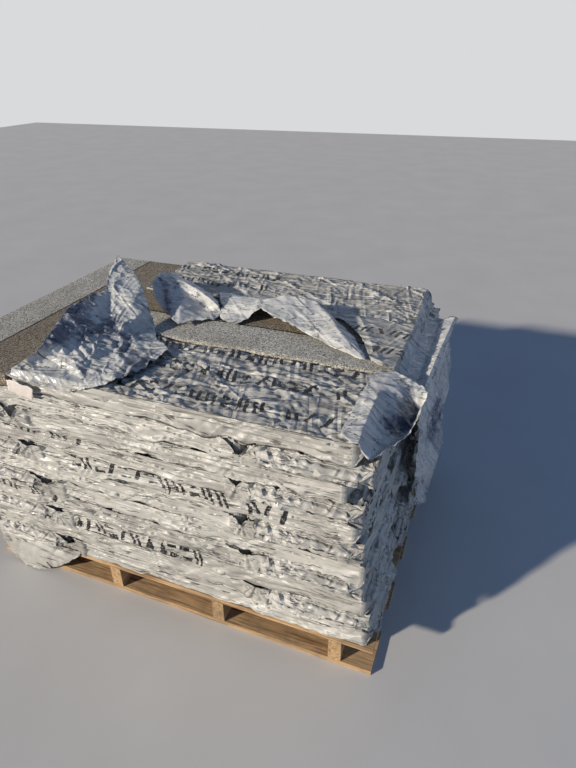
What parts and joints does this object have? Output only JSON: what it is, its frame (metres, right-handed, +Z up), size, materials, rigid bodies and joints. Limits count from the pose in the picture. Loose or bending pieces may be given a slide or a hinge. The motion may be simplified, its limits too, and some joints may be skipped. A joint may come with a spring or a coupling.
{
  "type": "pallet load of asphalt shingle bundles",
  "caption": "Timber pallet carrying cross-stacked bundles of asphalt shingles in plastic film, the top wrap torn open over bare shingles.",
  "frame": {"origin": "centre of the pallet's footprint, on the ground under its bottom boards", "axes": "+Z up, +X along the front of the load to its right end, +Y from the front of the load to its back"},
  "size_m": [1.4658, 1.038, 0.9598],
  "materials": {
    "pallet_wood": "rough sawn",
    "film_wrap": "wrinkled polyethylene film",
    "torn_film": "crumpled polyethylene film",
    "shingles": "mineral granules"
  },
  "bodies": {
    "root": {"bottom_board_1": "pallet_wood", "bottom_board_2": "pallet_wood", "bottom_board_3": "pallet_wood", "bottom_board_4": "pallet_wood", "bottom_board_5": "pallet_wood", "layer_01": "film_wrap", "layer_02": "film_wrap", "layer_03": "film_wrap", "layer_04": "film_wrap", "layer_05": "film_wrap", "layer_06": "film_wrap", "layer_07": "film_wrap", "layer_08": "film_wrap", "layer_09": "film_wrap", "layer_10": "film_wrap", "layer_11_wrapped": "film_wrap", "open_bundle_left": "shingles", "open_bundle_middle": "shingles", "stringer_1": "pallet_wood", "stringer_2": "pallet_wood", "stringer_3": "pallet_wood", "stringer_4": "pallet_wood", "top_board_1": "pallet_wood", "top_board_2": "pallet_wood", "top_board_3": "pallet_wood", "top_board_4": "pallet_wood", "top_board_5": "pallet_wood", "top_board_6": "pallet_wood", "top_board_7": "pallet_wood", "torn_film_arch": "torn_film", "torn_film_left": "torn_film", "torn_film_middle": "torn_film", "torn_film_right": "torn_film"}
  },
  "joints": []
}
